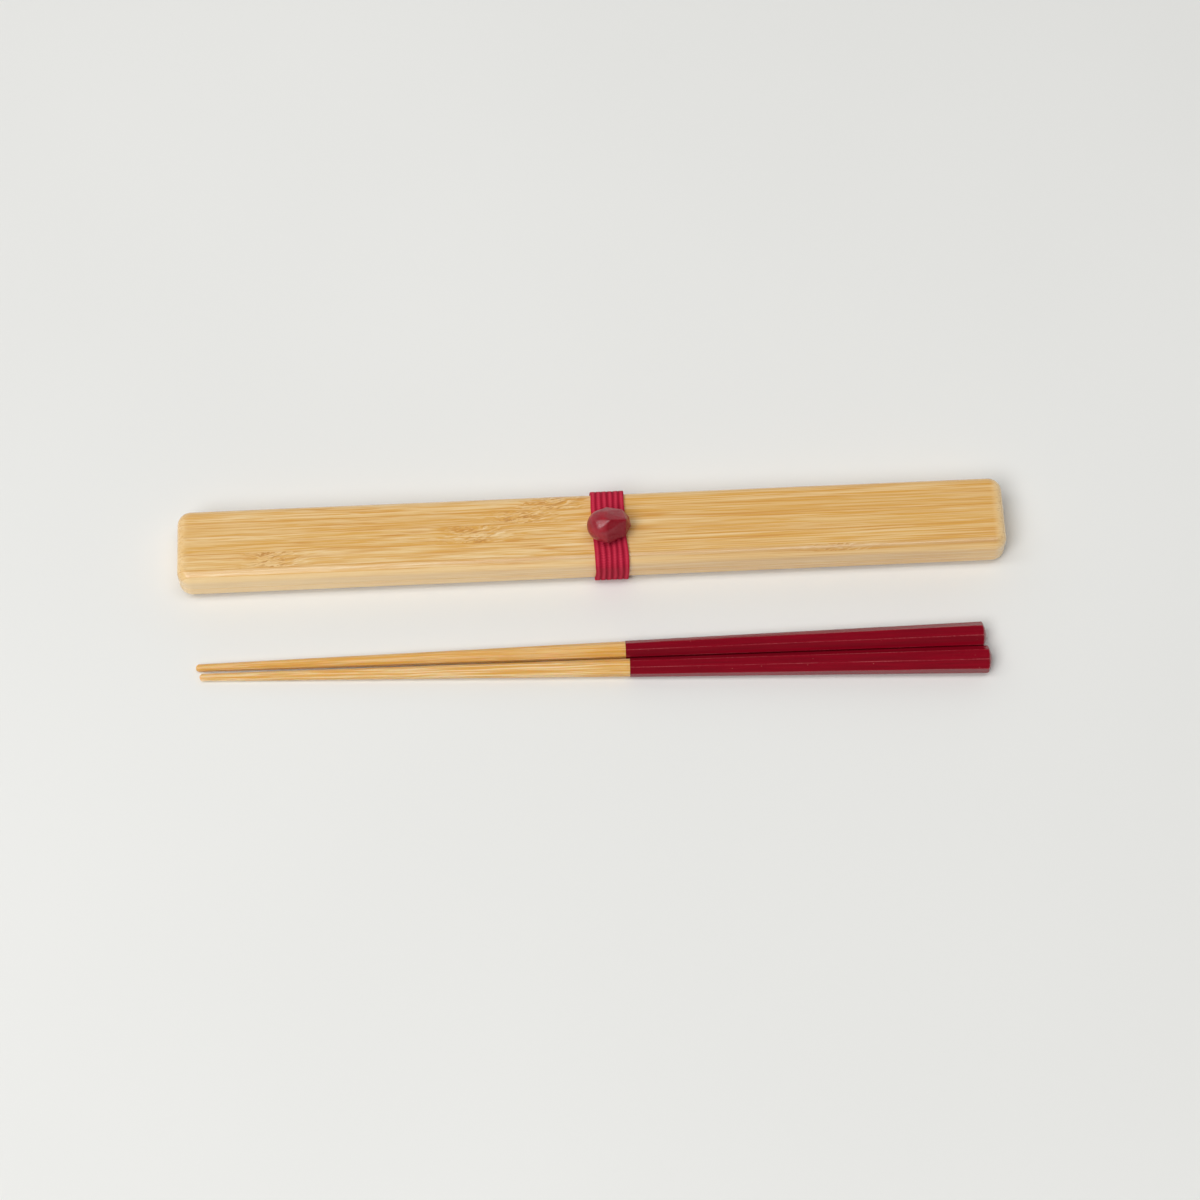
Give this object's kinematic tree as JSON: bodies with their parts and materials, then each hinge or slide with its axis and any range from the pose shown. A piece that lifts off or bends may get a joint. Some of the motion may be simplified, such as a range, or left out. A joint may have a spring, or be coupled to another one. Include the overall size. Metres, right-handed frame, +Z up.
{
  "type": "portable chopstick case",
  "caption": "Slim rounded bamboo chopstick case with a lift-off lid, held shut by a ribbed elastic band with a carved bead, and its pair of octagonal lacquered chopsticks.",
  "frame": {"origin": "middle of the set's footprint, on the table that the closed case and its chopsticks lie on", "axes": "+X along the case towards the chopsticks' grip ends, +Y to the back of the case, away from the chopsticks, +Z up"},
  "size_m": [0.2428, 0.0602, 0.0221],
  "materials": {
    "bamboo_base": "satin-lacquered laminated bamboo",
    "bamboo_lid": "satin-lacquered laminated bamboo",
    "elastic": "ribbed knitted elastic",
    "bead": "matte wine-red lacquer",
    "thread": "twisted thread",
    "bamboo_stick": "satin bamboo",
    "lacquer": "satin crimson lacquer"
  },
  "bodies": {
    "base": {"case_base": "bamboo_base"},
    "lid": {"case_lid": "bamboo_lid"},
    "band": {"elastic_band": "elastic"},
    "bead": {"bead": "bead", "bead_thread": "thread"},
    "chopstick_rear": {"chopstick_rear": "bamboo_stick", "lacquer_rear": "lacquer"},
    "chopstick_front": {"chopstick_front": "bamboo_stick", "lacquer_front": "lacquer"}
  },
  "joints": [
    {"name": "lid_lift", "type": "slide", "parent": "base", "child": "lid", "axis": [0, 0, 1], "range_m": [0, 0.016]},
    {"name": "band_slide", "type": "slide", "parent": "base", "child": "band", "axis": [1, 0, 0], "range_m": [-0.134, 0.124]},
    {"name": "band_stretch", "type": "slide", "parent": "band", "child": "bead", "axis": [0, 0, 1], "range_m": [0, 0.016], "deforming": ["elastic_band"]},
    {"name": "chopstick_rear_lift", "type": "slide", "parent": "base", "child": "chopstick_rear", "axis": [0, 0, 1], "range_m": [0, 0.06]},
    {"name": "chopstick_front_lift", "type": "slide", "parent": "base", "child": "chopstick_front", "axis": [0, 0, 1], "range_m": [0, 0.06]}
  ],
  "couplings": [
    {"joint": "band_stretch", "follows": "lid_lift", "ratio": 1}
  ]
}
